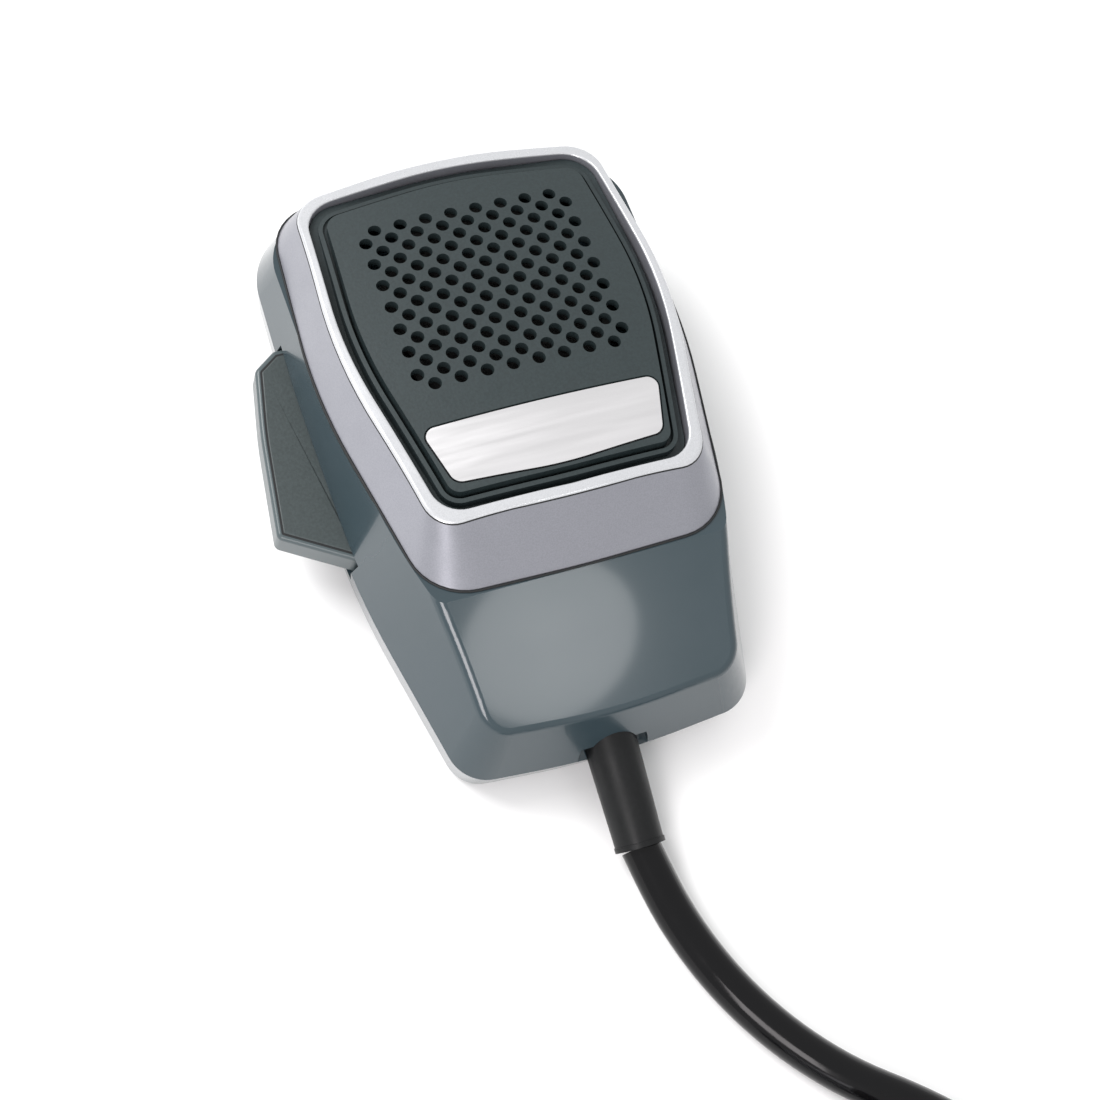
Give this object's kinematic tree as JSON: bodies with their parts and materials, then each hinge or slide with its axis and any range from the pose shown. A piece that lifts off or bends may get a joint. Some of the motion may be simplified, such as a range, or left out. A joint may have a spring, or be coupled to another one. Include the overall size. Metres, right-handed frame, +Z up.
{
  "type": "hand microphone",
  "caption": "Radio hand microphone lying on its back: domed grille in a bright bezel, push-to-talk lever, hang-up button, curly cord and plug.",
  "frame": {"origin": "centre of the case, lever and strain relief as seen from above, on the surface it lies on", "axes": "+Z up, +Y towards the case's top end, away from the cord; the lever is on -X"},
  "size_m": [0.1086, 0.252, 0.0367],
  "materials": {
    "case": "satin",
    "bezel_silver": "satin",
    "panel_grey": "matte",
    "plate_grey": "satin",
    "cloth": "matte",
    "capsule_metal": "satin",
    "rubber": "satin",
    "screw_steel": "satin",
    "black_plastic": "satin",
    "white_plastic": "satin",
    "board": "satin",
    "capacitor": "satin",
    "wire": "satin",
    "button_metal": "satin",
    "cord": "gloss",
    "plug_metal": "satin",
    "insert": "matte",
    "contact_gold": "gloss"
  },
  "bodies": {
    "housing": {"front_cover": "case", "rear_cover": "case", "cover_screws": "screw_steel", "bezel": "bezel_silver", "grille_frame": "panel_grey", "grille_panel": "panel_grey", "nameplate": "plate_grey", "acoustic_cloth": "cloth", "mic_capsule": "capsule_metal", "capsule_boot": "rubber", "ptt_pivot_pin": "screw_steel", "switch_body": "black_plastic", "switch_screws": "screw_steel", "circuit_board": "board", "board_screws": "screw_steel", "board_chip": "black_plastic", "board_capacitors": "capacitor", "board_connector": "white_plastic", "capsule_wires": "wire", "cord_wires": "wire", "cord_clamp": "screw_steel", "clamp_screws": "screw_steel", "button_neck": "button_metal", "button_head": "button_metal", "button_screw": "screw_steel", "strain_relief": "rubber", "cord_inside": "cord", "cord_lead": "cord", "curly_cord": "cord", "cord_tail": "cord", "plug_boot": "rubber", "plug_shell": "plug_metal", "plug_screws": "screw_steel", "plug_insert": "insert", "plug_contacts": "contact_gold"},
    "ptt_lever": {"ptt_lever": "case", "ptt_return_spring": "screw_steel"},
    "switch_plunger": {"switch_plunger": "white_plastic"},
    "coupling_ring": {"coupling_ring": "plug_metal"}
  },
  "joints": [
    {"name": "ptt_press", "type": "hinge", "parent": "housing", "child": "ptt_lever", "pos_m": [-0.02386, 0.03096, 0.01483], "axis": [0, -0.0993, 0.9951], "range_deg": [0, 6], "stiffness_Nm_per_rad": 0.35, "springref_deg": -4.58},
    {"name": "switch_press", "type": "slide", "parent": "housing", "child": "switch_plunger", "axis": [1, 0, 0], "range_m": [0, 0.00155]},
    {"name": "coupling_spin", "type": "hinge", "parent": "housing", "child": "coupling_ring", "pos_m": [0.0095, -0.122, 0.0092], "axis": [1, 0, 0], "continuous": true}
  ],
  "couplings": [
    {"joint": "switch_press", "follows": "ptt_press", "m_per_rad": 0.0145}
  ]
}
